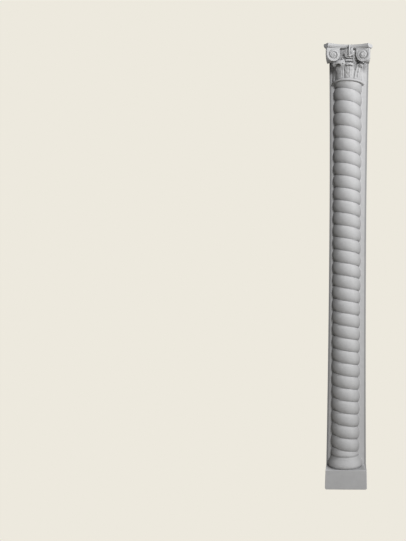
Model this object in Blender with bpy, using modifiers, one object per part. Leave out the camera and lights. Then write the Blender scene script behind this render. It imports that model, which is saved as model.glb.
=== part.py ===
"""A half-round twisted column of plaster on a flat panel, with a composite capital,
a swelling base and a block plinth, all cast in one piece.

Metres, +Z up. The front looks towards -Y. The origin is on the underside, at the middle
of the panel's front face, and the column's axis stands beside it at COLUMN_SHIFT.
Run it with blender --background --python part.py, or from Blender's text editor.
"""

import math

import bmesh
import bpy
from mathutils import Matrix, Vector

# Overall
HEIGHT = 2.400

# The twisted shaft, with a plain collar between its first groove and the neck ring
COLUMN_SHIFT = -0.0055
SHAFT_RADIUS = 0.0795
STRAND_PITCH = 0.06831
STRAND_DEPTH = 0.0135
COLLAR_HEIGHT = 0.036

# The swelling base, which flares down and then turns under onto the plinth
BASE_HEIGHT = 0.058
BASE_FLARE = 0.0175
BASE_UNDER_HEIGHT = 0.0128

# The block plinth: its ledges beyond the base, and how far its sides lean out to the foot
PLINTH_HEIGHT = 0.1035
PLINTH_FRONT_LEDGE = 0.002
PLINTH_SIDE_LEDGE = 0.014
PLINTH_BATTER = 0.00275
PLINTH_ROUNDING = 0.009

# The flat panel behind the column: its strip beside the shaft is narrowest at the waist
PANEL_THICKNESS = 0.040
PANEL_STRIP = 0.023
PANEL_WAIST_HEIGHT = 1.46
PANEL_TOP_SPREAD = 0.008
PANEL_FOOT_SPREAD = 0.00925
ARRIS = 0.003

# The neck ring and the bell of the capital, as far as each stands out from the shaft
CAPITAL_HEIGHT = 0.173
RING_HEIGHT = 0.012
RING_PROUD = 0.011
BELL_FOOT_PROUD = -0.0025
BELL_WAIST_PROUD = 0.0005
BELL_LIP_PROUD = 0.012

# The abacus: a square with hollow sides and cut corners over a shallow cove
ABACUS_OVERHANG = 0.0403
ABACUS_FILLET = 0.0125
ABACUS_COVE = 0.007
COVE_INSET = 0.007
HORN_CUT = 0.0245
SIDE_HOLLOW = 0.023

# The corner volutes, measured back and in from the horns of the abacus
VOLUTE_RADIUS = 0.036
VOLUTE_RECESS = 0.0208
VOLUTE_INSET = 0.0593
VOLUTE_TURN = math.radians(16)
VOLUTE_RIB = 0.0045
VOLUTE_EYE = 0.0085
SPIRAL_START = math.radians(120)
SPIRAL_TURNS = 1.75

# The acanthus leaves
FRONT_LEAF_HEIGHT = 0.078
LEAF_HEIGHT = 0.084
LEAF_WIDTH = 0.060
LEAF_THICKNESS = 0.007
LEAF_CURL = 0.013
LEAF_RIDGE = 0.0045
LEAF_LOBES = 4
LEAF_SPREAD = math.radians(42)
WALL_LEAF_REACH = 0.73
FOLIAGE_TURN = math.radians(5)

# The stems between the leaves
STEM_FOOT_HEIGHT = 0.042
STEM_LENGTH = 0.067
STEM_FOOT_RADIUS = 0.0055
STEM_TOP_RADIUS = 0.011
STEM_SPREAD = math.radians(20)
STEM_SWAY = math.radians(12)

# The flower on the abacus and the banded cup that it stands in
FLOWER_HEIGHT = 0.059
PETAL_WIDTH = 0.0215
PETAL_THICKNESS = 0.014
PETAL_SPREAD = math.radians(28)
CUP_HEIGHT = 0.026
CUP_WIDTH = 0.044
UPPER_BAND_RADIUS = 0.0048
LOWER_BAND_RADIUS = 0.0066

# The least overlap between shapes that are joined
BITE = 0.003

# How finely the round shapes are divided
SHAFT_STEPS = 26
STRAND_STEPS = 4
TURNED_STEPS = 32
PANEL_ROWS = 12

# What follows from the sizes above
BASE_RADIUS = SHAFT_RADIUS + BASE_FLARE
BASE_TOP = PLINTH_HEIGHT + BASE_HEIGHT
PLINTH_REACH = BASE_RADIUS + PLINTH_FRONT_LEDGE
PLINTH_HALF_WIDTH = BASE_RADIUS + PLINTH_SIDE_LEDGE
PANEL_HALF_WIDTH = SHAFT_RADIUS + PANEL_STRIP
RING_RADIUS = SHAFT_RADIUS + RING_PROUD
BELL_FOOT_RADIUS = SHAFT_RADIUS + BELL_FOOT_PROUD
BELL_WAIST_RADIUS = SHAFT_RADIUS + BELL_WAIST_PROUD
BELL_LIP_RADIUS = SHAFT_RADIUS + BELL_LIP_PROUD
ABACUS_HALF_WIDTH = BELL_LIP_RADIUS + ABACUS_OVERHANG
RING_TOP = HEIGHT - CAPITAL_HEIGHT
RING_FOOT = RING_TOP - RING_HEIGHT
FLOWER_FOOT = HEIGHT - FLOWER_HEIGHT
CUP_FOOT = FLOWER_FOOT - CUP_HEIGHT
FILLET_FOOT = HEIGHT - ABACUS_FILLET
ABACUS_FOOT = FILLET_FOOT - ABACUS_COVE
PAST_WALL = 2 * PANEL_THICKNESS
AXIS = Vector((COLUMN_SHIFT, 0.0, 0.0))


def clear_scene():
    for old in list(bpy.data.objects):
        bpy.data.objects.remove(old, do_unlink=True)


def new_collection(name):
    made = bpy.data.collections.new(name)
    bpy.context.scene.collection.children.link(made)
    return made


def object_from(mesh_or_curve, name, collection):
    made = bpy.data.objects.new(name, mesh_or_curve)
    collection.objects.link(made)
    return made


def joined_shape(mesh, name, collection):
    """A shape that a Boolean uses isn't a piece of its own, so it is drawn as wires only."""
    shape = object_from(mesh, name, collection)
    shape.hide_render = True
    shape.display_type = "WIRE"
    return shape


def mesh_from(work, name):
    made = bpy.data.meshes.new(name)
    work.to_mesh(made)
    work.free()
    return made


def made_mesh(source, name, collection):
    """The evaluated shape of an object as a plain closed mesh, in place of that object."""
    bpy.context.view_layer.update()
    graph = bpy.context.evaluated_depsgraph_get()
    mesh = bpy.data.meshes.new_from_object(source.evaluated_get(graph))
    mesh.transform(source.matrix_world)
    work = bmesh.new()
    work.from_mesh(mesh)
    bmesh.ops.remove_doubles(work, verts=work.verts, dist=1e-5)
    bmesh.ops.recalc_face_normals(work, faces=work.faces)
    work.to_mesh(mesh)
    work.free()
    bpy.data.objects.remove(source)
    return joined_shape(mesh, name, collection)


def screwed(name, profile, collection, steps, rise=0.0, turns=1):
    """A profile of (radius, height) points, running down its outer side, turned about the axis."""
    mesh = bpy.data.meshes.new(name)
    points = [(radius, 0.0, height) for radius, height in profile]
    mesh.from_pydata(points, [(i, i + 1) for i in range(len(points) - 1)], [])
    shape = object_from(mesh, name, collection)
    shape.location = AXIS
    screw = shape.modifiers.new("turn", "SCREW")
    screw.angle = math.tau
    screw.screw_offset = rise
    screw.iterations = turns
    screw.steps = screw.render_steps = steps
    screw.use_merge_vertices = rise == 0.0
    screw.merge_threshold = 1e-4
    return made_mesh(shape, name, collection)


def outline_solid(name, outline, low, high, collection):
    """A flat outline in the ground plane, raised from low to high."""
    curve = bpy.data.curves.new(name, "CURVE")
    curve.dimensions = "2D"
    curve.fill_mode = "BOTH"
    curve.extrude = (high - low) / 2
    spline = curve.splines.new("POLY")
    spline.points.add(len(outline) - 1)
    for point, (x, y) in zip(spline.points, outline):
        point.co = (x, y, 0.0, 1.0)
    spline.use_cyclic_u = True
    shape = object_from(curve, name, collection)
    shape.location = (0.0, 0.0, (high + low) / 2)
    return made_mesh(shape, name, collection)


def rod_along(name, points, radii, collection):
    """A round rod through the points, with its own radius at each of them."""
    curve = bpy.data.curves.new(name, "CURVE")
    curve.dimensions = "3D"
    curve.bevel_depth = 1.0
    curve.bevel_resolution = 1
    curve.use_fill_caps = True
    spline = curve.splines.new("POLY")
    spline.points.add(len(points) - 1)
    for point, place, radius in zip(spline.points, points, radii):
        point.co = (*place, 1.0)
        point.radius = radius
    return made_mesh(object_from(curve, name, collection), name, collection)


def on_bell(angle, reach, height):
    """The point this far from the column's axis, turned by angle from the front."""
    return AXIS + Vector((reach * math.sin(angle), -reach * math.cos(angle), height))


def panel_half_width(height):
    """Half the panel's width at this height: its sides draw in slightly to a waist."""
    upper = height > PANEL_WAIST_HEIGHT
    end = HEIGHT if upper else 0.0
    spread = PANEL_TOP_SPREAD if upper else PANEL_FOOT_SPREAD
    share = (height - PANEL_WAIST_HEIGHT) / (end - PANEL_WAIST_HEIGHT)
    return PANEL_HALF_WIDTH + spread * share * share


def panel(collection):
    """The panel's front is at y 0. It runs on behind its back, where the wall cut trims it."""
    low, high = PLINTH_HEIGHT / 2, ABACUS_FOOT + BITE
    work = bmesh.new()
    rings = []
    for row in range(PANEL_ROWS + 1):
        height = low + (high - low) * row / PANEL_ROWS
        half = panel_half_width(height)
        corners = ((-half, 0.0), (half, 0.0), (half, PAST_WALL), (-half, PAST_WALL))
        rings.append([work.verts.new((x, y, height)) for x, y in corners])
    front_arrises = []
    for below, above in zip(rings, rings[1:]):
        for i in range(4):
            j = (i + 1) % 4
            work.faces.new((below[i], below[j], above[j], above[i]))
        front_arrises += [work.edges.get((below[i], above[i])) for i in (0, 1)]
    work.faces.new(rings[0][::-1])
    work.faces.new(rings[-1])
    bmesh.ops.bevel(work, geom=front_arrises, offset=ARRIS, segments=1, affect="EDGES")
    return object_from(mesh_from(work, "panel"), "plaster_column", collection)


def plinth(collection):
    """A block with battered sides, rounded along its feet at left and right."""
    work = bmesh.new()
    bmesh.ops.create_cube(work, size=2.0)
    for vertex in work.verts:
        top = vertex.co.z > 0
        vertex.co.x *= PLINTH_HALF_WIDTH + (0.0 if top else PLINTH_BATTER)
        vertex.co.y = -PLINTH_REACH if vertex.co.y < 0 else PAST_WALL
        vertex.co.z = PLINTH_HEIGHT if top else 0.0
    seen = [e for e in work.edges if any(v.co.y < 0 for v in e.verts)]
    feet = [
        e
        for e in seen
        if all(v.co.z == 0.0 for v in e.verts) and any(v.co.y > 0 for v in e.verts)
    ]
    bmesh.ops.bevel(
        work, geom=feet, offset=PLINTH_ROUNDING, segments=3, profile=0.5, affect="EDGES"
    )
    others = [e for e in seen if e.is_valid]
    bmesh.ops.bevel(work, geom=others, offset=ARRIS, segments=1, affect="EDGES")
    return joined_shape(mesh_from(work, "plinth"), "plinth", collection)


def swelling_base(collection):
    """Flares from the shaft to its widest a little above the plinth, then turns under."""
    flare_steps, under_steps = 7, 3
    flare_height = BASE_HEIGHT - BASE_UNDER_HEIGHT
    profile = [(0.0, BASE_TOP)]
    for step in range(flare_steps + 1):
        share = step / flare_steps
        spread = (1 - math.cos(share * math.pi)) / 2
        profile.append((SHAFT_RADIUS + BASE_FLARE * spread, BASE_TOP - flare_height * share))
    for step in range(1, under_steps + 1):
        share = step / under_steps
        turn_in = 0.6 * BASE_UNDER_HEIGHT * share * share
        profile.append((BASE_RADIUS - turn_in, PLINTH_HEIGHT + BASE_UNDER_HEIGHT * (1 - share)))
    profile.append((profile[-1][0], PLINTH_HEIGHT - BITE))
    profile.append((0.0, PLINTH_HEIGHT - BITE))
    screwed("swelling_base", profile, collection, TURNED_STEPS)


def strand_profile(top):
    """One strand as an arc from groove to groove, running down from top."""
    half = STRAND_PITCH / 2
    arc_radius = (half * half + STRAND_DEPTH * STRAND_DEPTH) / (2 * STRAND_DEPTH)
    reach = math.asin(half / arc_radius)
    points = []
    for step in range(STRAND_STEPS + 1):
        angle = reach * (1 - 2 * step / STRAND_STEPS)
        radius = SHAFT_RADIUS - arc_radius * (1 - math.cos(angle))
        points.append((radius, top - half + arc_radius * math.sin(angle)))
    return points


def trim_between(shape, low, high):
    """Cuts an open tube square at two heights and closes both ends."""
    work = bmesh.new()
    work.from_mesh(shape.data)
    for height, normal in ((low, -1.0), (high, 1.0)):
        cut = bmesh.ops.bisect_plane(
            work,
            geom=work.verts[:] + work.edges[:] + work.faces[:],
            dist=1e-6,
            plane_co=(0.0, 0.0, height),
            plane_no=(0.0, 0.0, normal),
            clear_outer=True,
        )
        rim = [e for e in cut["geom_cut"] if isinstance(e, bmesh.types.BMEdge)]
        bmesh.ops.contextual_create(work, geom=rim)
    bmesh.ops.recalc_face_normals(work, faces=work.faces)
    work.to_mesh(shape.data)
    work.free()


def twisted_shaft(collection):
    """A single strand that winds down to the right across the front."""
    low, high = BASE_TOP - 4 * BITE, RING_FOOT + BITE
    # The screw starts at +X, a quarter turn on from the front, so a quarter pitch lower.
    side_groove = RING_FOOT - COLLAR_HEIGHT - STRAND_PITCH / 4
    strands_above = math.ceil((high - side_groove) / STRAND_PITCH) + 1
    top = side_groove + strands_above * STRAND_PITCH
    turns = math.ceil((top - low) / STRAND_PITCH) + 1
    shaft = screwed(
        "twisted_shaft",
        strand_profile(top),
        collection,
        SHAFT_STEPS,
        rise=-STRAND_PITCH,
        turns=turns,
    )
    trim_between(shaft, low, high)


def neck_and_bell(collection):
    """The thin neck ring and the bell above it, turned as one profile."""
    bead = RING_HEIGHT / 2
    profile = [
        (0.0, ABACUS_FOOT + BITE),
        (BELL_LIP_RADIUS, ABACUS_FOOT + BITE),
        (BELL_LIP_RADIUS - BITE, CUP_FOOT),
        (BELL_WAIST_RADIUS + BITE, CUP_FOOT - BITE),
        (BELL_WAIST_RADIUS, RING_TOP + LEAF_HEIGHT / 2),
        (BELL_FOOT_RADIUS, RING_TOP),
    ]
    bead_steps = 4
    for step in range(bead_steps + 1):
        angle = math.pi * (0.5 - step / bead_steps)
        radius = RING_RADIUS - bead * (1 - math.cos(angle))
        profile.append((radius, RING_FOOT + bead + bead * math.sin(angle)))
    profile.append((SHAFT_RADIUS - STRAND_DEPTH, RING_FOOT))
    profile.append((0.0, RING_FOOT))
    screwed("neck_and_bell", profile, collection, TURNED_STEPS)


def hollow_side(start, end):
    """Points of a shallow arc from start to end that bows towards the left of its run."""
    steps = 8
    start, end = Vector(start), Vector(end)
    half = (end - start).length / 2
    radius = (half * half + SIDE_HOLLOW * SIDE_HOLLOW) / (2 * SIDE_HOLLOW)
    along = (end - start).normalized()
    left = Vector((-along.y, along.x))
    centre = (start + end) / 2 - left * (radius - SIDE_HOLLOW)
    reach = math.asin(half / radius)
    points = []
    for step in range(steps + 1):
        angle = reach * (2 * step / steps - 1)
        point = centre + along * radius * math.sin(angle) + left * radius * math.cos(angle)
        points.append((point.x, point.y))
    return points


def abacus_outline(inset):
    """The front half of a hollow-sided square with cut corners, run on back past the wall."""
    half = ABACUS_HALF_WIDTH - inset
    horn = half - HORN_CUT
    waist = half - SIDE_HOLLOW
    front = hollow_side((-horn, -half), (horn, -half))
    right = [p for p in hollow_side((half, -horn), (half, horn)) if p[1] < -BITE]
    right += [(waist, 0.0), (waist, PAST_WALL)]
    left = [(-x, y) for x, y in reversed(right)]
    return [(x + COLUMN_SHIFT, y) for x, y in left + front + right]


def abacus(collection):
    """A plain fillet over a smaller slab that stands for the cove."""
    outline_solid("abacus_fillet", abacus_outline(0.0), FILLET_FOOT, HEIGHT, collection)
    cove_top = FILLET_FOOT + BITE / 2
    outline_solid("abacus_cove", abacus_outline(COVE_INSET), ABACUS_FOOT, cove_top, collection)


class Volute:
    """The place of one scroll face: in front, or at the side as its mirror in the diagonal."""

    def __init__(self, side, flank):
        offset = ABACUS_HALF_WIDTH - VOLUTE_INSET
        reach = ABACUS_HALF_WIDTH - VOLUTE_RECESS
        sine, cosine = math.sin(VOLUTE_TURN), math.cos(VOLUTE_TURN)
        centre, facing, outward = (offset, -reach), (-sine, -cosine), (cosine, -sine)
        if flank:
            centre, facing, outward = ((-y, -x) for x, y in (centre, facing, outward))
        height = ABACUS_FOOT - VOLUTE_RADIUS
        self.centre = AXIS + Vector((side * centre[0], centre[1], height))
        self.facing = Vector((side * facing[0], facing[1], 0.0))
        self.outward = Vector((side * outward[0], outward[1], 0.0))
        self.name = f"{'right' if side > 0 else 'left'}_{'flank' if flank else 'front'}"

    def at(self, angle, radius):
        """A point of the face: angle 0 is out towards the horn, and a quarter turn is up."""
        up = Vector((0.0, 0.0, math.sin(angle)))
        return self.centre + (self.outward * math.cos(angle) + up) * radius


def corner_scroll(side, collection):
    """The body between two scroll faces: round below, and square up into the abacus."""
    half_turn_steps = 10
    work = bmesh.new()
    for flank in (False, True):
        face = Volute(side, flank)
        for step in range(half_turn_steps + 1):
            work.verts.new(face.at(-math.pi * step / half_turn_steps, VOLUTE_RADIUS))
        for edge in (0.0, math.pi):
            corner = face.at(edge, VOLUTE_RADIUS)
            corner.z = ABACUS_FOOT + BITE
            work.verts.new(corner)
    bmesh.ops.convex_hull(work, input=work.verts)
    name = "scroll_right" if side > 0 else "scroll_left"
    joined_shape(mesh_from(work, name), name, collection)


def volute_relief(side, flank, collection):
    """The raised spiral, from the abacus round the outside and in to the eye, and the eye."""
    face = Volute(side, flank)
    steps = 22
    start = VOLUTE_RADIUS - VOLUTE_RIB
    points, radii = [], []
    for step in range(steps + 1):
        share = step / steps
        radius = start * (VOLUTE_EYE / start) ** share
        points.append(face.at(SPIRAL_START - math.tau * SPIRAL_TURNS * share, radius))
        radii.append(VOLUTE_RIB * (1 - 0.45 * share))
    rod_along(f"spiral_{face.name}", points, radii, collection)

    work = bmesh.new()
    bmesh.ops.create_uvsphere(work, u_segments=8, v_segments=4, radius=VOLUTE_EYE)
    turn = face.facing.to_track_quat("Z", "Y").to_matrix().to_4x4()
    work.transform(Matrix.Translation(face.centre) @ turn)
    joined_shape(mesh_from(work, "eye"), f"eye_{face.name}", collection)


def leaf_spine(share, tall):
    """Height above the leaf's foot and distance from the axis, along the leaf's middle."""
    upright, curl_turn = 0.66, math.radians(200)
    foot = BELL_FOOT_RADIUS - BITE
    lean = BELL_WAIST_RADIUS + LEAF_THICKNESS - foot
    if share <= upright:
        rise = share / upright
        return rise * (tall - LEAF_CURL), foot + lean * rise**1.6
    turn = (share - upright) / (1 - upright) * curl_turn
    height = tall - LEAF_CURL + LEAF_CURL * math.sin(turn)
    return height, foot + lean + LEAF_CURL * (1 - math.cos(turn))


def leaf_half_width(share):
    """The lobed outline of a leaf: broad low down, drawn in to a blunt tip."""
    body = 0.74 + 0.26 * math.sin(math.pi * min(1.0, share * 1.35))
    tip = 1 - 0.5 * max(0.0, (share - 0.62) / 0.38) ** 2
    lobes = 1 - 0.14 * abs(math.cos(math.pi * LEAF_LOBES * share))
    return LEAF_WIDTH / 2 * body * tip * lobes


def leaf(name, angle, tall, reach_share, collection):
    """A sheet bent to its spine, ridged along its middle and edges, then given its thickness."""
    work = bmesh.new()
    bmesh.ops.create_grid(work, x_segments=6, y_segments=12, size=1.0)
    for vertex in work.verts:
        across, share = vertex.co.x, (vertex.co.y + 1) / 2
        height, reach = leaf_spine(share, tall)
        reach = BELL_FOOT_RADIUS + (reach - BELL_FOOT_RADIUS) * reach_share
        ridge = LEAF_RIDGE * math.cos(1.5 * math.pi * across) * (1 - 0.4 * share)
        wrap = leaf_half_width(share) * across / max(reach, BELL_FOOT_RADIUS)
        droop = 0.25 * LEAF_CURL * across * across * max(0.0, 2 * share - 1)
        vertex.co = on_bell(angle + wrap, reach + ridge, RING_TOP - BITE + height - droop)
    shape = object_from(mesh_from(work, name), name, collection)
    wall = shape.modifiers.new("thickness", "SOLIDIFY")
    wall.thickness = LEAF_THICKNESS
    wall.offset = 0.0
    made_mesh(shape, name, collection)


def leaves(collection):
    leaf("leaf_front", FOLIAGE_TURN, FRONT_LEAF_HEIGHT, 1.0, collection)
    for side, name in ((-1, "left"), (1, "right")):
        leaf(f"leaf_{name}", side * LEAF_SPREAD + FOLIAGE_TURN, LEAF_HEIGHT, 1.0, collection)
        leaf(f"leaf_{name}_wall", side * math.pi / 2, LEAF_HEIGHT, WALL_LEAF_REACH, collection)


def stems(collection):
    """The stems that rise between the leaves and open towards the volutes."""
    steps = 7
    for side, name in ((-1, "stem_left"), (1, "stem_right")):
        points, radii = [], []
        for step in range(steps + 1):
            share = step / steps
            angle = FOLIAGE_TURN + side * (STEM_SPREAD + STEM_SWAY * share * share)
            reach = BELL_WAIST_RADIUS + (BELL_LIP_RADIUS - BELL_WAIST_RADIUS) * share
            height = RING_TOP + STEM_FOOT_HEIGHT + STEM_LENGTH * share
            points.append(on_bell(angle, reach, height))
            radii.append(STEM_FOOT_RADIUS + (STEM_TOP_RADIUS - STEM_FOOT_RADIUS) * share)
        rod_along(name, points, radii, collection)


def flower(collection):
    """A palmette of five petals that leans out from the bell over the front of the abacus."""
    foot_reach = BELL_LIP_RADIUS
    top_reach = ABACUS_HALF_WIDTH - SIDE_HOLLOW + PETAL_THICKNESS / 3
    lean = Matrix.Rotation(math.atan2(top_reach - foot_reach, FLOWER_HEIGHT), 4, "X")
    turn = Matrix.Rotation(FOLIAGE_TURN, 4, "Z")
    root = Matrix.Translation(on_bell(FOLIAGE_TURN, foot_reach, FLOWER_FOOT)) @ turn @ lean
    for place in (-2, -1, 0, 1, 2):
        length = FLOWER_HEIGHT * (1 - 0.17 * abs(place))
        work = bmesh.new()
        bmesh.ops.create_uvsphere(work, u_segments=10, v_segments=8, radius=0.5)
        bmesh.ops.scale(work, verts=work.verts, vec=(PETAL_WIDTH, PETAL_THICKNESS, length))
        bmesh.ops.translate(work, verts=work.verts, vec=(0.0, 0.0, 0.42 * length))
        work.transform(root @ Matrix.Rotation(place * PETAL_SPREAD, 4, "Y"))
        joined_shape(mesh_from(work, "petal"), f"petal_{place + 3}", collection)


def cup(collection):
    """Two short bands under the flower, bent round the lip of the bell."""
    steps = 6
    reach = BELL_LIP_RADIUS - BITE / 2
    spread = CUP_WIDTH / 2 / reach
    upper = FLOWER_FOOT - UPPER_BAND_RADIUS
    lower = CUP_FOOT + LOWER_BAND_RADIUS
    bands = (("upper_band", upper, UPPER_BAND_RADIUS), ("lower_band", lower, LOWER_BAND_RADIUS))
    for name, height, radius in bands:
        angles = [FOLIAGE_TURN + spread * (2 * step / steps - 1) for step in range(steps + 1)]
        points = [on_bell(angle, reach, height) for angle in angles]
        rod_along(name, points, [radius] * len(points), collection)


def wall_cutter(collection):
    """Everything behind the panel's back face, which trims the round shapes flush."""
    work = bmesh.new()
    bmesh.ops.create_cube(work, size=2 * HEIGHT)
    past = (0.0, HEIGHT + PANEL_THICKNESS, HEIGHT / 2)
    bmesh.ops.translate(work, verts=work.verts, vec=past)
    return joined_shape(mesh_from(work, "wall_cutter"), "wall_cutter", collection)


def plaster():
    material = bpy.data.materials.new("plaster")
    material.use_nodes = True
    shader = material.node_tree.nodes["Principled BSDF"]
    shader.inputs["Base Color"].default_value = (0.60, 0.60, 0.61, 1.0)
    shader.inputs["Roughness"].default_value = 0.9
    shader.inputs["Metallic"].default_value = 0.0
    return material


def main():
    clear_scene()
    finished = new_collection("Twisted half column")
    shapes = new_collection("Joined shapes")
    cutters = new_collection("Cutters")

    column = panel(finished)
    plinth(shapes)
    swelling_base(shapes)
    twisted_shaft(shapes)
    neck_and_bell(shapes)
    abacus(shapes)
    for side in (-1, 1):
        corner_scroll(side, shapes)
        for flank in (False, True):
            volute_relief(side, flank, shapes)
    leaves(shapes)
    stems(shapes)
    flower(shapes)
    cup(shapes)

    join = column.modifiers.new("join", "BOOLEAN")
    join.operation = "UNION"
    join.operand_type = "COLLECTION"
    join.collection = shapes
    join.solver = "EXACT"
    trim = column.modifiers.new("trim", "BOOLEAN")
    trim.operation = "DIFFERENCE"
    trim.object = wall_cutter(cutters)
    trim.solver = "EXACT"
    column.data.materials.append(plaster())


main()
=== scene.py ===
# %% [markdown]
# # A twisted half column of plaster
#
# This lesson makes the visible surface of one plaster cast: a half-round column with a single
# strand wound round it, on a flat panel, between a leafy capital and a block plinth. The packed
# CAD model gives its place and size. Here each part of the cast is modelled again with finer
# forms, and the parts are united into one mesh, because the real thing was cast in one go.

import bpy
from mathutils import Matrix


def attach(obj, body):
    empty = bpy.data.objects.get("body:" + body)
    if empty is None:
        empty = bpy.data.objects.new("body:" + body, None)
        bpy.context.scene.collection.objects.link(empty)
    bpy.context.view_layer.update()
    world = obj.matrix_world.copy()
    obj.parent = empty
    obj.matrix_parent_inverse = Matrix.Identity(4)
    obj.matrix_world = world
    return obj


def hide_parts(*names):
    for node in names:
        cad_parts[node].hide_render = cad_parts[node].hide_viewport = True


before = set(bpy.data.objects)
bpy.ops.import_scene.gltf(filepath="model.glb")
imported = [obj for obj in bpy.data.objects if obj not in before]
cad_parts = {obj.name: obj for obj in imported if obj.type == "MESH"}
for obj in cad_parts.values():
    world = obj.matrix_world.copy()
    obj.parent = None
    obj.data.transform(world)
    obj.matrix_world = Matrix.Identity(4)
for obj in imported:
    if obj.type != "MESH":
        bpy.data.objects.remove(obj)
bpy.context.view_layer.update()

# %% [markdown]
# ## Holding and picking
#
# Each step below could be done by hand: add a simple shape, pick a part of it, then move, cut,
# spin or unite it. A few helpers say which piece is held and which of its points are picked, so
# that the steps themselves stay short.

# %% Tools and the first helpers
import math

import bmesh
import bpy
import numpy as np
from mathutils import Matrix, Vector, noise

ops = bpy.ops


def let_go():
    """In object mode with nothing selected."""
    if bpy.context.mode != "OBJECT":
        ops.object.mode_set(mode="OBJECT")
    ops.object.select_all(action="DESELECT")


def hold(*pieces):
    """In object mode with only these pieces selected and the first one active."""
    let_go()
    for piece in pieces:
        piece.select_set(True)
    bpy.context.view_layer.objects.active = pieces[0]


def open_piece(piece):
    """In edit mode on this piece, with nothing in it selected."""
    hold(piece)
    ops.object.mode_set(mode="EDIT")
    ops.mesh.select_mode(type="VERT")
    ops.mesh.select_all(action="DESELECT")


def pick(piece, kind, test):
    """Selects the vertices, edges or faces of an open piece that pass the test."""
    ops.mesh.select_mode(type={"verts": "VERT", "edges": "EDGE", "faces": "FACE"}[kind])
    ops.mesh.select_all(action="DESELECT")
    work = bmesh.from_edit_mesh(piece.data)
    for part in getattr(work, kind):
        if test(part):
            part.select_set(True)
    work.select_flush_mode()
    bmesh.update_edit_mesh(piece.data)


def just_added(name):
    """Names the shape that was added last and applies its place and size."""
    piece = bpy.context.object
    piece.name = piece.data.name = name
    ops.object.transform_apply(location=True, rotation=True, scale=True)
    return piece


def triangles(piece):
    return sum(len(face.vertices) - 2 for face in piece.data.polygons)


def weld(piece):
    """Merges the points that lie in the same place."""
    open_piece(piece)
    ops.mesh.select_all(action="SELECT")
    ops.mesh.remove_doubles(threshold=1e-5)
    let_go()


def face_outward(piece):
    """Turns every face of a closed shape outwards."""
    open_piece(piece)
    ops.mesh.select_all(action="SELECT")
    ops.mesh.normals_make_consistent(inside=False)
    let_go()


print("modelling in Blender", bpy.app.version_string)


# %% [markdown]
# ## Sizes
#
# A cast this tall is measured from its top and its foot. The shaft's axis stands a few
# millimetres left of the panel's middle, as it does on the real piece, so everything that
# belongs to the column is turned about that axis, and the panel and the plinth are not.

# %% The sizes of the cast
HEIGHT = 2.400
COLUMN_SHIFT = -0.0055
SHAFT_RADIUS = 0.0795
STRAND_PITCH = 0.06831
STRAND_DEPTH = 0.0135
COLLAR_HEIGHT = 0.036
BASE_HEIGHT = 0.058
BASE_RADIUS = 0.097
BASE_UNDER_HEIGHT = 0.0128
PLINTH_HEIGHT = 0.1035
PLINTH_HALF_WIDTH = 0.111
PLINTH_REACH = 0.099
PLINTH_BATTER = 0.00275
PLINTH_ROUNDING = 0.009
PANEL_THICKNESS = 0.040
PANEL_HALF_WIDTH = 0.1025
PANEL_WAIST_HEIGHT = 1.46
PANEL_TOP_SPREAD = 0.008
PANEL_FOOT_SPREAD = 0.00925
CAPITAL_HEIGHT = 0.173
RING_HEIGHT = 0.012
RING_RADIUS = 0.0905
BELL_FOOT_RADIUS = 0.077
BELL_WAIST_RADIUS = 0.080
BELL_LIP_RADIUS = 0.0915
ABACUS_HALF_WIDTH = 0.1318
ABACUS_FILLET = 0.0125
ABACUS_COVE = 0.007
HORN_CUT = 0.0245
SIDE_HOLLOW = 0.023
BITE = 0.003  # how far a part runs into the next, so that they unite

RING_TOP = HEIGHT - CAPITAL_HEIGHT
RING_FOOT = RING_TOP - RING_HEIGHT
BASE_TOP = PLINTH_HEIGHT + BASE_HEIGHT
FILLET_FOOT = HEIGHT - ABACUS_FILLET
ABACUS_FOOT = FILLET_FOOT - ABACUS_COVE
AXIS = Vector((COLUMN_SHIFT, 0.0, 0.0))
print("shaft from", BASE_TOP, "to", RING_FOOT)


def round_axis(angle, reach, height):
    """The point this far from the column's axis, turned by angle from the front."""
    return AXIS + Vector((reach * math.sin(angle), -reach * math.cos(angle), height))


# %% [markdown]
# ## Lines, turned shapes and rods
#
# A plasterer runs a moulding with a template: a profile that is dragged along a line or turned
# about a pin. Blender's nearest thing is a line of vertices, drawn by extruding one vertex from
# point to point, and then spun or screwed. The same line can become a curve with a thickness,
# which makes the reeds and bands of the carving.


# %% Drawn lines and turned shapes
def drawn_line(name, points):
    """A line of vertices through the points, extruded one after another."""
    let_go()
    ops.mesh.primitive_plane_add(size=0.01, location=points[0])
    line = just_added(name)
    open_piece(line)
    ops.mesh.select_all(action="SELECT")
    ops.mesh.merge(type="CENTER")
    for start, end in zip(points, points[1:]):
        step = Vector(end) - Vector(start)
        ops.mesh.extrude_vertices_move(TRANSFORM_OT_translate={"value": step})
    let_go()
    return line


def turned(name, profile, steps=96):
    """A (radius, height) profile spun once round the column's axis."""
    line = drawn_line(name, [round_axis(0.0, radius, height) for radius, height in profile])
    open_piece(line)
    ops.mesh.select_all(action="SELECT")
    ops.mesh.spin(steps=steps, angle=math.tau, center=AXIS, axis=(0.0, 0.0, 1.0))
    weld(line)
    face_outward(line)
    return line


# %% Rods
def rod(name, points, radii, roundness=3):
    """A round rod through the points, with its own radius at each, as a closed mesh."""
    line = drawn_line(name, points)
    hold(line)
    ops.object.convert(target="CURVE")
    curve = line.data
    curve.bevel_depth = 1.0
    curve.bevel_resolution = roundness
    curve.use_fill_caps = True
    run = list(curve.splines[0].points)
    if (run[0].co.xyz - Vector(points[0])).length > (run[-1].co.xyz - Vector(points[0])).length:
        run.reverse()
    for point, radius in zip(run, radii):
        point.radius = radius
    hold(line)
    ops.object.convert(target="MESH")
    weld(line)
    face_outward(line)
    return line


# %% Cuts, modifiers and joints
def cut_off(piece, point, normal):
    """Cuts away what lies beyond a plane, and closes the cut."""
    open_piece(piece)
    ops.mesh.select_all(action="SELECT")
    ops.mesh.bisect(plane_co=point, plane_no=normal, use_fill=True, clear_outer=True)
    let_go()


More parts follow.
